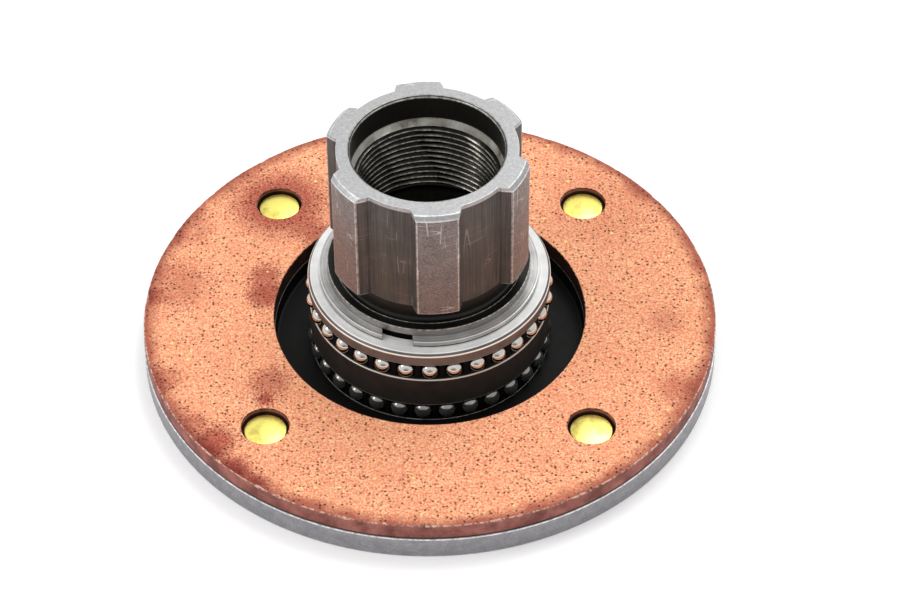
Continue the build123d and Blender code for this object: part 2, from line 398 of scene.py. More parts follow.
tip_line = [(*polar(key_radius, share * tip_angle, 0.0)[:2], 0, 0) for share in (0, 0.25, 0.5, 0.75)]
root_line = [
    (*polar(root_radius, angle, 0.0)[:2], 0, 0) for angle in np.linspace(foot_angle, half_pitch, 8)[1:]
]
half_key, half_wear, _ = soften(
    [
        *tip_line,
        (*polar(key_radius, tip_angle, 0.0)[:2], 0.3, 1.0),
        (root_radius, key_half_root, 0.2, 0.0),
        (*polar(root_radius, foot_angle, 0.0)[:2], 0.45, 0.0),
        *root_line,
    ]
)
half_angles = np.arctan2(half_key[:, 1], half_key[:, 0])
half_share = (np.hypot(half_key[:, 0], half_key[:, 1]) - root_radius) / (key_radius - root_radius)
print(f"a key's half outline has {len(half_key)} points, its tip ends at {np.degrees(tip_angle):.2f} degrees")

# %% Columns of the hub: the keys' own, the quarters' borders and the keyway's sides
keyway_half_width, keyway_reach = 2.5, 15.4
taper_top_radius, taper_bottom_radius = 12.0, 13.5
keyway_side = np.arcsin(keyway_half_width / taper_bottom_radius)
# The slot's inner corners have columns of their own, just inside its sides
slot_corner = 0.96
same_angle = 1e-4
keyway_columns = keyway_side * np.array([-1, -slot_corner, slot_corner, 1])
own_columns = (key_angles[:, None] + np.concatenate([-half_angles[:0:-1], half_angles])).ravel()
hub_angles = np.concatenate([own_columns, np.radians([0, 90, 180, 270]), keyway_columns]) % TURN
hub_angles = np.unique(np.round(hub_angles, 7))
hub_angles = hub_angles[np.append(np.diff(hub_angles) > same_angle, True)]
from_key = (hub_angles - key_angles[0] + half_pitch) % (2 * half_pitch) - half_pitch
hub_share = np.clip(np.interp(abs(from_key), half_angles, half_share), 0, 1)
hub_corner_wear = np.interp(abs(from_key), half_angles, half_wear)
flank_pull = np.sign(from_key) * np.interp(abs(from_key), [0, tip_angle, foot_angle], [0, 1, 0])
print(f"the hub has {len(hub_angles)} columns")


def hub_rings(base, reach, height):
    """Rings of the hub. A point's radius is base + share (reach - base), and where reach is below the
    key radius the flank columns turn outwards, so that the flanks stay flat up to the tip's chamfer."""
    base, reach, height = (np.asarray(value, float)[:, None] for value in (base, reach, height))
    shift = np.interp(reach, flank_radii, flank_angles) - tip_angle
    shift = np.where((reach > root_radius + 1.0) & (reach < key_radius), shift, 0.0)
    return base + hub_share * (reach - base), hub_angles + flank_pull * shift, height


# %% [markdown]
# ## The hub's profile
#
# The hub is drawn as one line that runs from the flange's face down into the recess, up the journal,
# over the groove, the land and the step, up the keys, over the boss's end and down the bore. Each
# corner names the finish of the stretch that follows it. The thread isn't drawn in the profile: it
# rises along a helix, and that comes next.

# %% The profile from the flange's face to its back
mouth_radius, counterbore_radius, thread_radius = 20.3, 19.8, 19.05
counterbore_bottom, thread_top, thread_bottom = 62.2, 60.2, 38.3
nut_pocket_radius, nut_seat = 17.2, 24.0
plate_inner, plate_outer = 43.0, 75.0
chamfer = 1.05

# Each row: root radius, tip radius, height, rounding, wear at root, wear at tip, finish of what follows
hub_line = [
    (plate_inner, plate_inner, flange_top, 0, 0, 0, RECESS),
    (recess_radius, recess_radius, flange_top, 0.15, 0.4, 0.4, RECESS),
    (recess_radius, recess_radius, recess_floor, 1.0, 0, 0, RECESS),
    (shoulder_radius, shoulder_radius, recess_floor, 0.15, 0, 0, RECESS),
    (shoulder_radius, shoulder_radius, shoulder_top, 0.12, 0.9, 0.9, RECESS),
    (track_radius, track_radius, shoulder_top, 0.12, 0, 0, RECESS),
    (track_radius, track_radius, washer_bottom, 0, 0, 0, OILED),
    (land_radius, land_radius, washer_bottom, 0, 0, 0, OILED),
    (land_radius, land_radius, washer_top, 0.06, 0, 0, OILED),
    (groove_radius, groove_radius, washer_top, 0.12, 0, 0, OILED),
    (groove_radius, groove_radius, groove_top, 0.12, 0, 0, OILED),
    (land_radius, land_radius, groove_top, 0.08, 0.2, 0.2, LAND),
    (land_radius, land_radius, land_top, 0.25, 0.8, 0.8, OILED),
    (step_radius, step_radius, land_top, 0.08, 0, 0, OILED),
    (step_radius, step_radius, step_top, 0.08, 0.8, 0.8, OILED),
    (root_radius, root_radius, step_top, 1.05, 0, 0, OILED),
    (root_radius, root_radius, key_bottom, 0.25, 0, 0, KEYED),
    (root_radius, key_radius, key_bottom, 0.3, 0, 0.5, KEYED),
    (root_radius, key_radius, boss_top - chamfer, 0.15, 0, 0.7, GROUND),
    (root_radius, key_radius - chamfer, boss_top, 0.14, 0.6, 0.6, GROUND),
    (mouth_radius, mouth_radius, boss_top, 0.1, 0.6, 0.6, BORED),
    (counterbore_radius, counterbore_radius, boss_top - 0.5, 0.22, 1.0, 1.0, BORED),
    (counterbore_radius, counterbore_radius, counterbore_bottom, 0.12, 0, 0, CONE),
    (thread_radius, thread_radius, thread_top, 0, 0, 0, THREADED),
]
bore_line = [
    (thread_radius, thread_radius, thread_bottom, 0, 0, 0, BORED),
    (nut_pocket_radius, nut_pocket_radius, thread_bottom, 0.2, 0, 0, BORED),
    (nut_pocket_radius, nut_pocket_radius, nut_seat, 0.3, 0, 0, BORED),
    (taper_top_radius, taper_top_radius, nut_seat, 0.2, 0.5, 0.5, BORED),
    (taper_bottom_radius, taper_bottom_radius, 0.0, 0.3, 0.6, 0.6, RIM),
    (plate_inner, plate_inner, 0.0, 0, 0, 0, RIM),
]
rim_line = [
    (plate_outer, plate_outer, 0.0, 0, 0, 0, RIM),
    (flange_radius, flange_radius, 0.0, 0.4, 0.2, 0.2, RIM),
    (flange_radius, flange_radius, flange_top, 0.3, 1.0, 1.0, RIM),
    (plate_outer, plate_outer, flange_top, 0, 0, 0, RIM),
]
print(f"the hub's profile has {len(hub_line) + len(bore_line) + len(rim_line)} corners")


# %% Rings from a profile, with the keys' corners and the keyway worked in
def hub_patch(line):
    """The surface that a profile line sweeps. Wear on the keys' upright corners is added where the keys
    stand, and rings inside the keyway's reach are pushed out to its flat end."""
    rows, on_edge, source = soften([(*row[:4], 1.0) for row in line])
    base, reach, height = rows.T
    radius, angle, height = np.broadcast_arrays(*hub_rings(base, reach, height))
    points = polar(radius, angle, height)
    root_wear, tip_wear = np.array([row[4:6] for row in line], float)[source].T[..., None]
    wear = on_edge[:, None] * (root_wear + hub_share * (tip_wear - root_wear))
    upright = (reach[:, None] == key_radius) & (height < boss_top - 0.5 * chamfer)
    wear = np.maximum(wear, 0.6 * hub_corner_wear * upright)
    signed = (hub_angles + pi) % TURN - pi
    in_slot = abs(signed) < keyway_side * (1 + slot_corner) / 2
    on_side = abs(abs(signed) - keyway_side) < same_angle
    through = base < keyway_reach
    along = np.clip(signed / keyway_side / slot_corner, -1, 1) * keyway_half_width
    slot = np.stack(np.broadcast_arrays(keyway_reach, along, height), -1)
    side_x = np.sqrt(np.maximum(radius**2 - keyway_half_width**2, 0))
    side = np.stack(np.broadcast_arrays(side_x, np.sign(signed) * keyway_half_width, height), -1)
    points = np.where((through[:, None] & in_slot)[..., None], slot, points)
    points = np.where((through[:, None] & on_side)[..., None], side, points)
    finish = np.array([row[6] for row in line])[source[:-1], None]
    on_tip = np.minimum(hub_share, np.roll(hub_share, -1)) > 0.98
    return grid(points, wear, np.where((finish == KEYED) & ~on_tip, ROOT, finish))


# %% [markdown]
# ## The thread
#
# The bore has a fine thread for the puller that draws the hub off its shaft. A screw modifier could
# sweep a tooth along a helix, but its ends would stay open. Here the wall itself rises and falls:
# at each height and angle the rise depends on how far that point is along the helix. The rise starts
# quickly under the bored lead and fades out over a turn at the bottom, where the tool left the cut.

# %% The thread as a rise on the bore's wall
thread_pitch = 25.4 / 14
thread_depth = 0.98
rings_per_turn = 9
tooth_slope, tooth_foot, lead_turns = 2.5, 0.18, 0.25
thread_turns = (thread_top - thread_bottom) / thread_pitch
thread_heights = np.linspace(thread_top, thread_bottom, int(thread_turns * rings_per_turn) + 1)[:, None]
# The tooth is a triangle wave of height / pitch - angle / turn, steepened and cut flat at foot and crest
phase = (thread_heights / thread_pitch - hub_angles / TURN) % 1.0
tooth = np.clip((0.5 - abs(phase - 0.5)) * tooth_slope - tooth_foot, 0, 1)
fade_in = np.clip((thread_top - thread_heights) / thread_pitch / lead_turns, 0, 1)
fade_out = np.clip((thread_heights - thread_bottom) / thread_pitch, 0, 1)
rise = thread_depth * tooth * fade_in * fade_out
# The crests' pale colour is partly rubbed steel and partly a painted highlight along each crest.
crest_wear_and_glint = np.clip(rise / thread_depth * 3 - 2.2, 0, 1) * 0.8
thread_patch = grid(polar(thread_radius - rise, hub_angles, thread_heights), crest_wear_and_glint, THREADED)
print(f"thread: {thread_turns:.1f} turns of {thread_pitch:.3f} mm in {len(thread_heights)} rings")

# %% [markdown]
# ## Plates with rivet holes
#
# The flange and the lining are flat rings with four holes. A boolean cut would leave long thin
# triangles and no say over the holes' edges. Instead each quarter of the ring is woven round its own
# hole: every point of the quarter's border is joined to the hole's centre, and the same lines run
# down the hole and back out along the other face. One grid then makes both faces and the hole.

# %% A quarter of a ring, woven round its hole
def quarter_patch(angles, inner, outer, quarter, rows, side_points=5):
    """Each row is how far from the border to the hole (0 to 1), the hole's radius, the height, the wear
    and the finish. A point is (1-s) border + s (hole centre + radius x direction to the border)."""
    low, high = quarter * pi / 2, (quarter + 1) * pi / 2
    around = np.append(angles, TURN)
    arc = around[(around > low - 1e-6) & (around < high + 1e-6)]
    between = np.linspace(outer, inner, side_points + 2)[1:-1]
    radius = np.concatenate([np.full(len(arc), outer), between, np.full(len(arc), inner), between[::-1]])
    angle = np.concatenate([arc, np.full(side_points, high), arc[::-1], np.full(side_points, low)])
    border = polar(radius, angle, 0.0)
    centre = polar(rivet_circle, rivet_angles[quarter], 0.0)
    outward = (border - centre) / np.linalg.norm(border - centre, axis=1, keepdims=True)
    table = np.array([row[:4] for row in rows], float)
    share, hole, height, wear = (table[:, column, None, None] for column in range(4))
    points = (1 - share) * border + share * (centre + hole * outward) + height * [0.0, 0.0, 1.0]
    return grid(points, wear[:, :, 0], [[row[4]] for row in rows[:-1]])


# %% The hub: its profile, its thread and the flange's four quarters
hole_radius, countersink_radius, countersink_depth = 2.42, 4.22, 1.8
flange_hole = [
    (0, hole_radius, flange_top, 0, RIM),
    (0.5, hole_radius, flange_top, 0, RIM),
    (1, hole_radius, flange_top, 0, RIM),
    (1, hole_radius, countersink_depth, 0, RIM),
    (1, countersink_radius, 0.0, 0.8, RIM),
    (1, countersink_radius + 0.3, 0.0, 0, RIM),
    (0.5, countersink_radius, 0.0, 0, RIM),
    (0, countersink_radius, 0.0, 0, RIM),
]
hub_patches = [hub_patch(hub_line), thread_patch, hub_patch(bore_line), hub_patch(rim_line)]
for quarter in range(4):
    hub_patches.append(quarter_patch(hub_angles, plate_inner, plate_outer, quarter, flange_hole))
build_piece("hub_body", hub_patches, hub_finishes, body="hub", node="hub")

# %% [markdown]
# ## The friction lining
#
# A moulded ring of fibre and resin, riveted to the flange. It is matt, salmon pink where it is clean
# and full of fine grain: dark specks of metal and fibre, a few yellow chips, and oil that soaked in
# and left brown stains with soft edges. The stains are where the photograph shows them, each a spot
# with a soft irregular border. The real grain is about a third of a millimetre: it is drawn at
# 0.6 mm, because finer grain wouldn't show.

# %% The lining compound's face
def lining_face_material():
    """Salmon compound with grain, specks, chips, a redder margin and oil stains, on object coordinates."""
    material, tree, place = new_material("moulded_friction_lining")
    grain = add_node(tree, "TexNoise", {"Vector": place, "Scale": scale_of(0.6), "Roughness": 0.8})
    mottle = add_node(
        tree, "TexNoise", {"Vector": place, "Scale": scale_of(7.0), "Detail": 5.0, "Roughness": 0.6}
    )
    grain_share = add_node(tree, "MapRange", {"Value": grain, "From Min": 0.35, "From Max": 0.63})
    fine = add_node(
        tree, "Mix", {"Factor": grain_share, "A": linear("#d26546"), "B": linear("#ffca9c")}, data_type="RGBA"
    )
    mottle_share = add_node(
        tree, "MapRange", {"Value": mottle, "From Min": 0.4, "From Max": 0.7, "To Max": 0.4}
    )
    base = add_node(tree, "Mix", {"Factor": mottle_share, "A": fine, "B": linear("#e38e6b")}, data_type="RGBA")
    # The redder margin near the rim: distance from the shaft axis, which the mottle makes waver
    margin_waver, margin_start, margin_end = 6.0, 75.0, 78.5
    flat = add_node(tree, "VectorMath", {0: place, 1: (1.0, 1.0, 0.0)}, operation="MULTIPLY")
    radius = add_node(tree, "VectorMath", {0: flat}, operation="LENGTH")
    wavering = add_node(tree, "Math", {0: mottle, 1: margin_waver * MM, 2: radius}, operation="MULTIPLY_ADD")
    margin = add_node(
        tree,
        "MapRange",
        {"Value": wavering, "From Min": margin_start * MM, "From Max": margin_end * MM, "To Max": 0.85},
    )
    banded = add_node(tree, "Mix", {"Factor": margin, "A": base, "B": linear("#964a3d")}, data_type="RGBA")
    # Oil stains: x, y and radius in mm, then the depth of colour. The first lies round a rivet.
    stains = [
        (-42.0, 42.0, 12.4, 0.95),
        (-35.0, 33.5, 6.0, 0.8),
        (-31.0, 29.5, 5.0, 0.85),
        (-44.5, 13.5, 4.2, 0.85),
        (-43.6, 6.5, 5.4, 0.95),
        (-41.4, -26.7, 5.4, 0.65),
        (-42.3, -32.5, 2.6, 1.0),
        (-60.5, -41.0, 3.6, 0.7),
        (-55.4, -48.1, 5.8, 0.95),
        (-49.4, -57.1, 4.8, 0.95),
        (-43.6, -61.6, 3.4, 0.8),
        (-73.5, 5.6, 3.6, 0.8),
        (-69.0, 10.0, 9.0, 0.5),
        (-66.0, 32.0, 6.0, 0.45),
        (-68.7, -25.1, 4.4, 0.6),
        (65.2, -28.6, 5.6, 0.6),
        (62.9, -4.0, 4.6, 0.4),
        (48.0, 42.0, 15.0, 0.25),
    ]
    # The border wanders in two steps: slowly with the mottle, and from grain to grain
    border_wander, grain_wander = 5.0, 6.0
    slow_wander = add_node(tree, "Math", {0: mottle, 1: border_wander * MM}, operation="MULTIPLY")
    wander = add_node(
        tree, "Math", {0: grain, 1: grain_wander * MM, 2: slow_wander}, operation="MULTIPLY_ADD"
    )
    soaked = 0.0
    for x, y, size, depth in stains:
        border, softness = size + (border_wander + grain_wander) / 2, 0.45 * size + 0.5
        inside, outside = (border - softness) * MM, (border + softness) * MM
        distance = add_node(tree, "VectorMath", {0: flat, 1: (x * MM, y * MM, 0.0)}, operation="DISTANCE")
        ragged = add_node(tree, "Math", {0: distance, 1: wander}, operation="ADD")
        spot = add_node(
            tree,
            "MapRange",
            {"Value": ragged, "From Min": inside, "From Max": outside, "To Min": depth, "To Max": 0.0},
            interpolation_type="SMOOTHSTEP",
        )
        soaked = add_node(tree, "Math", {0: soaked, 1: spot}, operation="MAXIMUM")
    # Oil darkens the compound and leaves its grain to be seen, so the colours are multiplied
    stained = add_node(
        tree,
        "Mix",
        {"Factor": soaked, "A": banded, "B": linear("#b88a94")},
        data_type="RGBA",
        blend_type="MULTIPLY",
    )
    # Dark specks: the cells of a 1.1 mm pattern whose own value is high, drawn near their middles and
    # bent by the grain, so that no two have the same form
    speck_bend = (0.7 * MM, 0.7 * MM, 0.7 * MM)
    grain_bent = add_node(
        tree, "VectorMath", {0: grain.outputs["Color"], 1: speck_bend, 2: place}, operation="MULTIPLY_ADD"
    )
    cells = add_node(tree, "TexVoronoi", {"Vector": grain_bent, "Scale": scale_of(1.1)})
    own = add_node(tree, "SeparateColor", {"Color": cells.outputs["Color"]}).outputs
    chosen = add_node(tree, "Math", {0: own["Red"], 1: 0.55}, operation="GREATER_THAN")
    reach = add_node(tree, "MapRange", {"Value": own["Blue"], "To Min": 0.2, "To Max": 0.52})
    near = add_node(
        tree,
        "MapRange",
        {"Value": cells, "From Min": 0.14, "From Max": reach, "To Min": 0.95, "To Max": 0.0},
    )
    speck = add_node(tree, "Math", {0: chosen, 1: near}, operation="MULTIPLY")
    specked = add_node(tree, "Mix", {"Factor": speck, "A": stained, "B": linear("#140d0b")}, data_type="RGBA")
    # Yellow chips: one cell in many of a 3 mm pattern
    chip_cells = add_node(tree, "TexVoronoi", {"Vector": place, "Scale": scale_of(3.0)})
    chip_own = add_node(tree, "SeparateColor", {"Color": chip_cells.outputs["Color"]}).outputs
    chip_chosen = add_node(tree, "Math", {0: chip_own["Green"], 1: 0.88}, operation="GREATER_THAN")
    chip_near = add_node(
        tree,
        "MapRange",
        {"Value": chip_cells, "From Min": 0.1, "From Max": 0.2, "To Min": 0.8, "To Max": 0.0},
    )
    chip = add_node(tree, "Math", {0: chip_chosen, 1: chip_near}, operation="MULTIPLY")
    colour = add_node(tree, "Mix", {"Factor": chip, "A": specked, "B": linear("#fbe08a")}, data_type="RGBA")
    bump = add_node(tree, "Bump", {"Height": grain, "Distance": 0.12 * MM, "Strength": 0.5})
    shader = add_node(
        tree,
        "BsdfPrincipled",
        {"Base Color": colour, "Roughness": 0.85, "Specular IOR Level": 0.2, "Normal": bump},
    )
    add_node(tree, "OutputMaterial", {"Surface": shader})
    print(f"the lining has {len(stains)} oil stains")
    return material


# %% The lining's side, where it was cut and handled
def lining_wall_material(name, dark, pale, chipped):
    """Brown-red compound with pale patches, and chips that show whitish where the wear value is high."""
    material, tree, place = new_material(name)
    patches = add_node(
        tree, "TexNoise", {"Vector": place, "Scale": scale_of(5.0), "Detail": 5.0, "Roughness": 0.6}
    )
    share = add_node(tree, "MapRange", {"Value": patches, "From Min": 0.38, "From Max": 0.66})
    body = add_node(tree, "Mix", {"Factor": share, "A": linear(dark), "B": linear(pale)}, data_type="RGBA")
    worn = add_node(tree, "Attribute", attribute_name="wear").outputs["Fac"]
    crumbs = add_node(tree, "TexNoise", {"Vector": place, "Scale": scale_of(0.9), "Detail": 3.0})
    crumb_share = add_node(
        tree,
        "MapRange",
        {"Value": crumbs, "From Min": 0.44, "From Max": 0.6, "To Min": 0.05, "To Max": 0.9},
    )
    chips = add_node(tree, "Math", {0: worn, 1: crumb_share}, operation="MULTIPLY")
    colour = add_node(tree, "Mix", {"Factor": chips, "A": body, "B": linear(chipped)}, data_type="RGBA")
    bump = add_node(tree, "Bump", {"Height": patches, "Distance": 0.3 * MM, "Strength": 0.5})
    shader = add_node(
        tree,
        "BsdfPrincipled",
        {"Base Color": colour, "Roughness": 0.7, "Specular IOR Level": 0.3, "Normal": bump},
    )
    add_node(tree, "OutputMaterial", {"Surface": shader})
    return material


lining_face = lining_face_material()
# Cut edge of the compound: darker than the face, smeared with oil, its corner chipped pale.
lining_side = lining_wall_material("cut_lining_edge", "#703c34", "#a4655a", "#f0cdb4")
# Walls of the bore and of the rivet pockets: the same compound, darkened nearly to black as painted shade.
lining_wall_shaded_copy = lining_wall_material("lining_compound_painted_shade", "#1c0f0b", "#43251c", "#d79578")
FACE, SIDE, SHADED_WALL = range(3)

# %% [markdown]
# ## The lining's edge
#
# The lining's top corner is broken and chipped by use. The bevel's width changes along the rim, so
# the rim's rings are shaped by a sum of sines with unrelated periods: it looks irregular, closes on
# itself, and comes out the same on every run. The foot is drawn in a little, which leaves the dark
# line that is seen between the lining and the flange.

# %% The lining's rim and bore as rings
lining_columns = 720
lining_angles = np.linspace(0, TURN, lining_columns, endpoint=False)
waves_and_starts = [(23, 0.3), (61, 1.7), (97, 4.1), (151, 2.2), (233, 5.0)]
ripple = sum(
    np.sin(waves * lining_angles + start) / count
    for count, (waves, start) in enumerate(waves_and_starts, 1)
)
chipping = np.clip(ripple - 0.9, 0, 1)
bevel = 0.3 + 0.05 * ripple + 0.25 * chipping
lining_plate_inner, lining_plate_outer = 43.0, 74.0
foot_inset, foot_height = 0.55, 0.5

# Each row: radius, height, wear, finish of what follows
lining_rim = [
    (lining_plate_outer, lining_top, 0, FACE),
    (lining_radius - bevel - 0.25, lining_top, 0, FACE),
    (lining_radius - bevel, lining_top - 0.02, 0.5, SIDE),
    (lining_radius - bevel * 0.35, lining_top - bevel * 0.3, 0.8, SIDE),
    (lining_radius, lining_top - bevel, 0.5, SIDE),
    (lining_radius, lining_top - bevel - 0.2, 0, SIDE),
    (lining_radius, flange_top + foot_height, 0, SIDE),
    (lining_radius - foot_inset, flange_top, 0, SIDE),
    (lining_plate_outer, flange_top, 0, SIDE),
]
rim_radius, rim_height = (
    np.stack([np.broadcast_to(row[column], lining_columns) for row in lining_rim]) for column in (0, 1)
)
# The rings run backwards here, so that their faces agree with those of the woven quarters
lining_rim_patch = grid(
    polar(rim_radius, lining_angles, rim_height)[:, ::-1],
    np.array([row[2] for row in lining_rim])[:, None],
    [[row[3]] for row in lining_rim[:-1]],
)
bore_profile, bore_wear, _ = soften(
    [
        (lining_plate_inner, flange_top, 0, 0),
        (lining_bore, flange_top, 0.1, 0),
        (lining_bore, lining_top, 0.2, 0.8),
        (lining_plate_inner, lining_top, 0, 0),
    ]
)
# Below the face, the bore's wall gets the darker copy, as painted shade.
lining_bore_patch = grid(
    polar(bore_profile[:, :1], lining_angles, bore_profile[:, 1:])[:, ::-1],
    bore_wear[:, None],
    np.where(bore_profile[:-1, 1:] > lining_top - 0.01, FACE, SHADED_WALL),
)
print(f"the lining's bevel is {bevel.min():.2f} to {bevel.max():.2f} mm wide")

# %% The lining: its rings and four woven quarters
pocket_radius, pocket_floor = 6.2, 8.5
# In each pocket a band just under the top keeps the side's colour, and the wall below it, the floor and the hole
# get the darker copy, as painted shade.
lining_hole = [
    (0, pocket_radius, lining_top, 0, FACE),
    (0.6, pocket_radius, lining_top, 0, FACE),
    (1, pocket_radius + 0.35, lining_top, 0, FACE),
    (1, pocket_radius + 0.14, lining_top - 0.01, 0.9, SHADED_WALL),
    (1, pocket_radius + 0.02, lining_top - 0.12, 0.6, SHADED_WALL),
    (1, pocket_radius, lining_top - 0.35, 0, SIDE),
    (1, pocket_radius, lining_top - 1.1, 0, SHADED_WALL),
    (1, pocket_radius, pocket_floor, 0, SHADED_WALL),
    (1, hole_radius, pocket_floor, 0, SHADED_WALL),
    (1, hole_radius, flange_top, 0, SHADED_WALL),
    (0, hole_radius, flange_top, 0, SIDE),
]
lining_patches = [lining_rim_patch, lining_bore_patch]
for quarter in range(4):
    lining_patches.append(
        quarter_patch(lining_angles, lining_plate_inner, lining_plate_outer, quarter, lining_hole)
    )
lining_finishes = [lining_face, lining_side, lining_wall_shaded_copy]
build_piece(
    "friction_lining_ring", lining_patches, lining_finishes, body="hub", node="friction_lining"
)

# %% [markdown]
# ## The rivets
#
# Four brass rivets, closed with a domed set, hold the lining. Brass this clean is a strong pale
# yellow and mirrors the bright ceiling softly. Old oil has dried on the domes in small brown spots.

# %% Satin brass
def brass_material():
    """Satin brass: yellow metal, small scuffs in its roughness, and brown spots of dried oil."""
    material, tree, place = new_material("satin_brass")
    scuffs = add_node(tree, "TexNoise", {"Vector": place, "Scale": scale_of(0.6), "Detail": 4.0})
    tarnish = add_node(
        tree, "TexNoise", {"Vector": place, "Scale": scale_of(4.5), "Detail": 4.0, "Roughness": 0.6}
    )
    share = add_node(tree, "MapRange", {"Value": tarnish, "From Min": 0.5, "From Max": 0.72, "To Max": 0.6})
    colour = add_node(
        tree, "Mix", {"Factor": share, "A": linear("#fbee7e"), "B": linear("#8a6430")}, data_type="RGBA"
    )
    rough = add_node(tree, "MapRange", {"Value": scuffs, "To Min": 0.24, "To Max": 0.42})
    bump = add_node(tree, "Bump", {"Height": scuffs, "Distance": 0.04 * MM, "Strength": 0.5})
    shader = add_node(
        tree,
        "BsdfPrincipled",
        {"Base Color": colour, "Metallic": 1.0, "Roughness": rough, "Normal": bump},
    )
    add_node(tree, "OutputMaterial", {"Surface": shader})
    return material


# %% Four rivets, each a turned profile from the dome's crown to the closed tail
brass = brass_material()
head_radius, head_edge, crown_height = 5.5, 9.7, 10.2
shank_radius, tail_radius, tail_sink = 2.4, 3.95, 0.25
# The dome is part of a sphere: z = crown - R + sqrt(R^2 - r^2)
dome_radius = (head_radius**2 + (crown_height - head_edge) ** 2) / (2 * (crown_height - head_edge))
dome_r = head_radius * np.linspace(0, 1, 9)[:-1]
dome_z = crown_height - dome_radius + np.sqrt(dome_radius**2 - dome_r**2)
rivet_line = [
    *[(r, z, 0, 0) for r, z in zip(dome_r, dome_z)],
    (head_radius, head_edge, 0.12, 0.0),
    (head_radius, pocket_floor, 0.08, 0.0),
    (shank_radius, pocket_floor, 0, 0),
    (shank_radius, countersink_depth, 0, 0),
    (tail_radius, tail_sink, 0.1, 0.0),
    (0.0, tail_sink, 0, 0),
]
for number, rivet_angle in enumerate(rivet_angles, 1):
    middle = polar(rivet_circle, rivet_angle, 0.0)[:2]
    patch = turned(rivet_line, 72, closed=False, centre=middle)
    build_piece(
        f"rivet_head_{number}", [patch], [brass], body="hub", node=f"rivet_{number}"
    )

# %% [markdown]
# ## The rings on the journal
#
# The washer was ground on both faces, and the wheel left rings round its centre. A pale film has
# dried over them, so what shows is mostly the film's soft white, and the steel below only stretches
# the reflections a little across the rings: a small anisotropy along a tangent that runs round the
# axis gives that. The band between the rows is plain steel, dark with oil, and the snap ring is
# bright flat spring steel.

# %% Ground steel whose fine rings stretch the light
def ringed_steel(name, pale, grey, rubbed, roughness, anisotropy, metal):
    """Steel ground in rings: a tone that changes ring by ring with the distance from the axis, clouds,
    bright edges from the wear value, and a tangent that runs round the shaft axis. Metal is below 1
    where a film hides part of the steel, and on the darker copy that paints shade on the snap ring.
    Real rings are too fine to show: they are drawn 0.35 mm wide."""
    material, tree, place = new_material(name)
    flat = add_node(tree, "VectorMath", {0: place, 1: (1.0, 1.0, 0.0)}, operation="MULTIPLY")
    radius = add_node(tree, "VectorMath", {0: flat}, operation="LENGTH")
    rings = add_node(
        tree, "TexNoise", {"W": radius, "Scale": scale_of(0.35), "Detail": 3.0}, noise_dimensions="1D"
    )
    clouds = add_node(tree, "TexNoise", {"Vector": place, "Scale": scale_of(5.0), "Detail": 4.0})
    mixed = add_node(tree, "Math", {0: rings, 1: clouds}, operation="ADD")
    share = add_node(tree, "MapRange", {"Value": mixed, "From Min": 0.75, "From Max": 1.25})
    steel = add_node(tree, "Mix", {"Factor": share, "A": linear(grey), "B": linear(pale)}, data_type="RGBA")
    worn = add_node(tree, "Attribute", attribute_name="wear").outputs["Fac"]
    colour = add_node(tree, "Mix", {"Factor": worn, "A": steel, "B": linear(rubbed)}, data_type="RGBA")
    rough = add_node(tree, "MapRange", {"Value": share, "To Min": roughness + 0.05, "To Max": roughness - 0.05})
    around = add_node(tree, "Tangent", direction_type="RADIAL", axis="Z")
    bump = add_node(tree, "Bump", {"Height": rings, "Distance": 0.01 * MM, "Strength": 0.4})
    shader = add_node(
        tree,
        "BsdfPrincipled",
        {
            "Base Color": colour,
            "Metallic": metal,
            "Roughness": rough,
            "Anisotropic": anisotropy,
            "Tangent": around,
            "Normal": bump,
        },
    )
    add_node(tree, "OutputMaterial", {"Surface": shader})
    return material


# Ground washer: pale and satin under a dried film, brightest at its left and right.
washer_steel = ringed_steel("ground_washer_steel", "#efefed", "#d1d0ce", "#fbf6ec", 0.38, 0.15, 0.15)
# The washer's wall: the same steel under a thin brown film, with a cream line where its edge is rubbed.
washer_wall_steel = ringed_steel("filmed_washer_steel", "#75706f", "#575152", "#fbf4e6", 0.36, 0.3, 0.5)
# Flat spring steel, rolled and bright.
spring_steel = ringed_steel("spring_steel", "#c6c5c4", "#969594", "#f4f2ee", 0.36, 0.3, 0.6)
# The same spring steel, darkened as painted shade: along its foot against the washer, and on the faces of its
# ends in the gap.
shaded_spring_steel = ringed_steel("spring_steel_painted_shade", "#2b2926", "#1a1917", "#f4f2ee", 0.4, 0.3, 0.3)
# Band steel, dark with oil: a brown-black sheen and a thin bright edge.
band_steel = ringed_steel("oiled_band_steel", "#3f3733", "#2b2724", "#d8d0c6", 0.36, 0.3, 0.25)

# %% The washer and the band
washer_outer, washer_inner, washer_chamfer = 32.02, 26.75, 0.8
band_inner, band_bottom, band_top = 28.07, 8.25, 17.65
ring_columns = 300
washer_line = [
    (washer_inner, washer_bottom, 0.1, 0.0),
    (washer_outer, washer_bottom, 0.2, 0.2),
    (washer_outer, washer_top - washer_chamfer, 0.16, 1.0),
    (washer_outer - washer_chamfer, washer_top, 0.1, 0.0),
    (washer_inner, washer_top, 0.1, 0.5),
]
band_line = [
    (band_inner, band_bottom, 0.1, 0.0),
    (shoulder_radius, band_bottom, 0.25, 0.4),
    (shoulder_radius, band_top, 0.25, 1.0),
    (band_inner, band_top, 0.1, 0.0),
]
washer_patch = turned(washer_line, ring_columns, [0, 1, 1, 0, 0])
washer_finishes = [washer_steel, washer_wall_steel]
build_piece(
    "retaining_washer_ring", [washer_patch], washer_finishes,
    body="hub", node="retaining_washer",
)
band_patch = turned(band_line, ring_columns)
build_piece(
    "spacer_band_ring", [band_patch], [band_steel], body="hub", node="spacer_band"
)

# %% [markdown]
# ## The snap ring
#
# A flat spring that sits in the groove and holds the washer. Its two ends stand apart at the front
# left, cut on a slant. It is swept like the other rings, but the sweep's start and end depend on the
# radius, which slants the ends, and each end is closed by a fan from its middle.

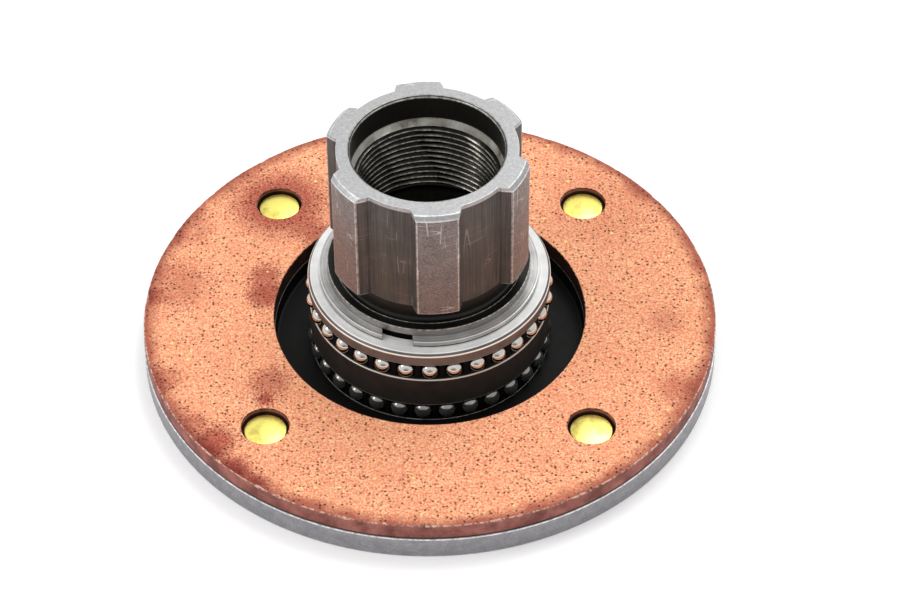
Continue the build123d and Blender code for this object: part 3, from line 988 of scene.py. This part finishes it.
# %% The snap ring with its slanted open ends
ring_inner, ring_outer, ring_top = 25.4, 29.0, 28.7
ring_profile, ring_wear, ring_corner = soften(
    [
        (ring_inner, washer_top, 0.1, 0.0),
        (ring_outer, washer_top, 0.15, 0.0),
        (ring_outer, washer_top + 0.4, 0, 0.0),
        (ring_outer, ring_top, 0.15, 0.6),
        (ring_inner, ring_top, 0.1, 0.3),
    ],
    closed=True,
)
# Each end's angle at the ring's inner side and its slant towards the outer side, in degrees
(first_angle, first_slant), (last_angle, last_slant) = (260.5, 2.0), (242.3, 3.6)
sweep_steps = 281
outward_share = (ring_profile[:, 0] - ring_inner) / (ring_outer - ring_inner)
first_end = np.radians(first_angle + first_slant * outward_share)
last_end = np.radians(last_angle + 360 + last_slant * outward_share)
sweep = first_end + (last_end - first_end) * np.linspace(0, 1, sweep_steps)[:, None]
ring_points = polar(ring_profile[:, 0], sweep, ring_profile[:, 1])
# The outer wall's foot and the two end faces get the darker copy, as painted shade.
ring_patches = [grid(ring_points, ring_wear, np.array([0, 1, 0, 0, 0])[ring_corner])]
for loop in (ring_points[0, ::-1], ring_points[-1]):
    ring_patches.append(grid(np.stack([loop, np.broadcast_to(loop.mean(0), loop.shape)]), 0.0, 1))
ring_finishes = [spring_steel, shaded_spring_steel]
build_piece(
    "snap_ring_spring", ring_patches, ring_finishes, body="hub", node="snap_ring"
)

# %% [markdown]
# ## The balls and their cages
#
# Each row has 31 balls of chrome steel, 3/16 inch across. Real balls are mirrors, so they are smooth
# and get the least roughness in the scene, with only a film of oil. The lower row gets a darker copy
# of that steel as painted shade, for the balls under the band. The cages are stamped from thin steel
# and blackened. Their frame solids are right as they are, so they only get the finish.

# %% Polished ball steel and blackened cage steel
def ball_material(name, clean, filmed, metal):
    """Hardened, polished steel: a mirror, dulled a little in patches by a film of oil. Metal is below 1
    for a darker copy whose colours and lower metal paint shade, and leave only the ball's own gloss."""
    material, tree, place = new_material(name)
    film = add_node(tree, "TexNoise", {"Vector": place, "Scale": scale_of(2.5), "Detail": 3.0})
    rough = add_node(
        tree, "MapRange", {"Value": film, "From Min": 0.35, "From Max": 0.7, "To Min": 0.04, "To Max": 0.16}
    )
    colour = add_node(tree, "Mix", {"Factor": film, "A": linear(clean), "B": linear(filmed)}, data_type="RGBA")
    shader = add_node(tree, "BsdfPrincipled", {"Base Color": colour, "Metallic": metal, "Roughness": rough})
    add_node(tree, "OutputMaterial", {"Surface": shader})
    return material


def cage_material():
    """Blackened sheet steel: black oxide, slightly worn to brown-grey in patches."""
    material, tree, place = new_material("blackened_cage_steel")
    patches = add_node(tree, "TexNoise", {"Vector": place, "Scale": scale_of(1.2), "Detail": 4.0})
    share = add_node(tree, "MapRange", {"Value": patches, "From Min": 0.5, "From Max": 0.75})
    colour = add_node(
        tree, "Mix", {"Factor": share, "A": linear("#050505"), "B": linear("#100f0e")}, data_type="RGBA"
    )
    shader = add_node(
        tree, "BsdfPrincipled", {"Base Color": colour, "Roughness": 0.8, "Specular IOR Level": 0.12}
    )
    add_node(tree, "OutputMaterial", {"Surface": shader})
    return material


# %% Two rows of balls, all of one sphere's points
upper_ball_steel = ball_material("polished_ball_steel", "#d9d8d6", "#b9b4ac", 1.0)
# The lower row's copy is darker: painted shade for the balls that sit under the band, in the recess.
shade_darkened_ball_steel = ball_material("ball_steel_painted_shade", "#a8a6a3", "#716e6b", 0.85)
cage_steel = cage_material()
# Each row's height in mm, the angle of its first ball in degrees, and its finish
ball_rows = {"lower": (5.55, 278.7, shade_darkened_ball_steel), "upper": (20.35, 270.7, upper_ball_steel)}
ball_radius, ball_pitch_radius, ball_count = 2.38125, 30.47, 31
climb = np.linspace(-pi / 2, pi / 2, 15)[:, None]
ring_of_ball = np.linspace(0, TURN, 26, endpoint=False)
sphere = polar(ball_radius * np.cos(climb), ring_of_ball, ball_radius * np.sin(climb))
for row_name, (row_height, row_angle, ball_steel) in ball_rows.items():
    turns = radians(row_angle) + TURN * np.arange(ball_count) / ball_count
    build_piece(
        f"{row_name}_ball_row",
        [grid(sphere + polar(ball_pitch_radius, turn, row_height), 0.0, 0) for turn in turns],
        [ball_steel],
        body=f"{row_name}_row",
        node=f"{row_name}_balls",
    )
    for material_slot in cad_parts[f"{row_name}_cage"].material_slots:
        material_slot.material = cage_steel

# %% [markdown]
# ## Floor and light
#
# The photograph was taken on white, with light from all sides and only a thin pale shadow under the
# rim. A floor lit to white would flood the object, so the floor is lifted to white only for the
# camera and for reflections, and the sky is white only to the camera. To everything else the sky is
# a pale room, darker on the photographer's side. Two soft lamps, one overhead and behind and one at
# the left, give the boss's end and the balls their highlights.

# %% The floor
white = (1.0, 1.0, 1.0, 1.0)


def floor_material():
    """White paper: matt, and lifted to white for what sees it, so that only the contact shadow shows."""
    material, tree, place = new_material("white_paper_floor")
    fibre = add_node(tree, "TexNoise", {"Vector": place, "Scale": scale_of(2.0), "Detail": 3.0})
    tone = add_node(
        tree, "Mix", {"Factor": fibre, "A": linear("#f4f3f2"), "B": linear("#fafafa")}, data_type="RGBA"
    )
    paper = add_node(tree, "BsdfDiffuse", {"Color": tone})
    lift = add_node(tree, "Emission", {"Color": white, "Strength": 0.1})
    lifted = add_node(tree, "AddShader", {0: paper, 1: lift})
    path = add_node(tree, "LightPath").outputs
    seen = add_node(
        tree, "Math", {0: path["Is Camera Ray"], 1: path["Is Glossy Ray"]}, operation="MAXIMUM"
    )
    seen_too = add_node(tree, "Math", {0: seen, 1: path["Is Transmission Ray"]}, operation="MAXIMUM")
    surface = add_node(tree, "MixShader", {0: seen_too, 1: paper, 2: lifted})
    add_node(tree, "OutputMaterial", {"Surface": surface})
    return material


floor_reach = 3000.0
floor_mesh = bpy.data.meshes.new("floor")
floor_corners = np.array([(-1, -1, 0), (1, -1, 0), (1, 1, 0), (-1, 1, 0)]) * floor_reach * MM
floor_mesh.from_pydata(floor_corners.tolist(), [], [(0, 1, 2, 3)])
floor_mesh.materials.append(floor_material())
floor = bpy.data.objects.new("floor", floor_mesh)
bpy.context.scene.collection.objects.link(floor)
print(f"the floor reaches {floor_reach * MM:.0f} m to each side")

# %% The sky: white to the camera, a pale room to everything else
world = bpy.data.worlds.new("white_studio")
bpy.context.scene.world = world
world.use_nodes = True
sky = world.node_tree
sky.nodes.clear()
direction = add_node(sky, "TexCoord").outputs["Generated"]
parts = add_node(sky, "SeparateXYZ", {"Vector": direction}).outputs
ceiling = add_node(sky, "MapRange", {"Value": parts["Z"], "From Min": -0.1, "To Min": 0.86})
# The photographer's side of the room is darker, which greys every face that is turned to the camera
camera_side = add_node(
    sky,
    "MapRange",
    {"Value": parts["Y"], "From Min": -0.98, "From Max": -0.68, "To Min": 0.35},
    interpolation_type="SMOOTHSTEP",
)
studio = add_node(sky, "Math", {0: ceiling, 1: camera_side}, operation="MULTIPLY")
to_camera = add_node(sky, "LightPath").outputs["Is Camera Ray"]
strength = add_node(sky, "Mix", {"Factor": to_camera, "A": studio, "B": 1.0}, data_type="FLOAT")
backdrop = add_node(sky, "Background", {"Color": white, "Strength": strength})
add_node(sky, "OutputWorld", {"Surface": backdrop})
print(f"the sky has {len(sky.nodes)} nodes")


# %% Two soft lamps
def soft_lamp(name, place, width, watts, aim=(0.0, 0.0, 0.03)):
    """A square area lamp, turned to aim at the object's middle; places and width in metres."""
    light = bpy.data.lights.new(name, "AREA")
    light.shape = "SQUARE"
    light.size = width
    light.energy = watts
    lamp = bpy.data.objects.new(name, light)
    lamp.location = place
    lamp.rotation_euler = (Vector(aim) - Vector(place)).to_track_quat("-Z", "Y").to_euler()
    bpy.context.scene.collection.objects.link(lamp)
    print(f"{name}: {watts} W from {(Vector(place) - Vector(aim)).length:.2f} m away")


soft_lamp("overhead_softbox", place=(0.22, 0.4, 0.95), width=0.45, watts=3.6)
soft_lamp("left_softbox", place=(-0.8, -0.2, 0.75), width=0.4, watts=2.2)

# %% [markdown]
# ## The camera
#
# The photograph's own camera was worked out from the lining's two circles and the boss: a long lens
# from about 830 mm away, looking down at 45 degrees. Its place and its right and up axes are given
# as they were solved, and the third axis is square to those two.

# %% The camera, from its solved place and axes
camera_place = Vector((10.859, -581.375, 592.09)) * MM
camera_right = Vector((0.999978, 0.004022, -0.005343))
camera_up = Vector((0.000960, 0.704341, 0.709861))
camera_data = bpy.data.cameras.new("photograph_camera")
camera_data.sensor_width = 36.0
camera_data.lens = 123.12
camera_data.clip_start = 0.05
camera_data.clip_end = 20.0
camera = bpy.data.objects.new("photograph_camera", camera_data)
axes = Matrix((camera_right, camera_up, camera_right.cross(camera_up))).transposed()
camera.matrix_world = Matrix.Translation(camera_place) @ axes.to_4x4()
bpy.context.scene.collection.objects.link(camera)
bpy.context.scene.camera = camera
bpy.context.scene.view_settings.view_transform = "Standard"
print(f"the camera stands {camera_place.length / MM:.0f} mm from the shaft's foot")
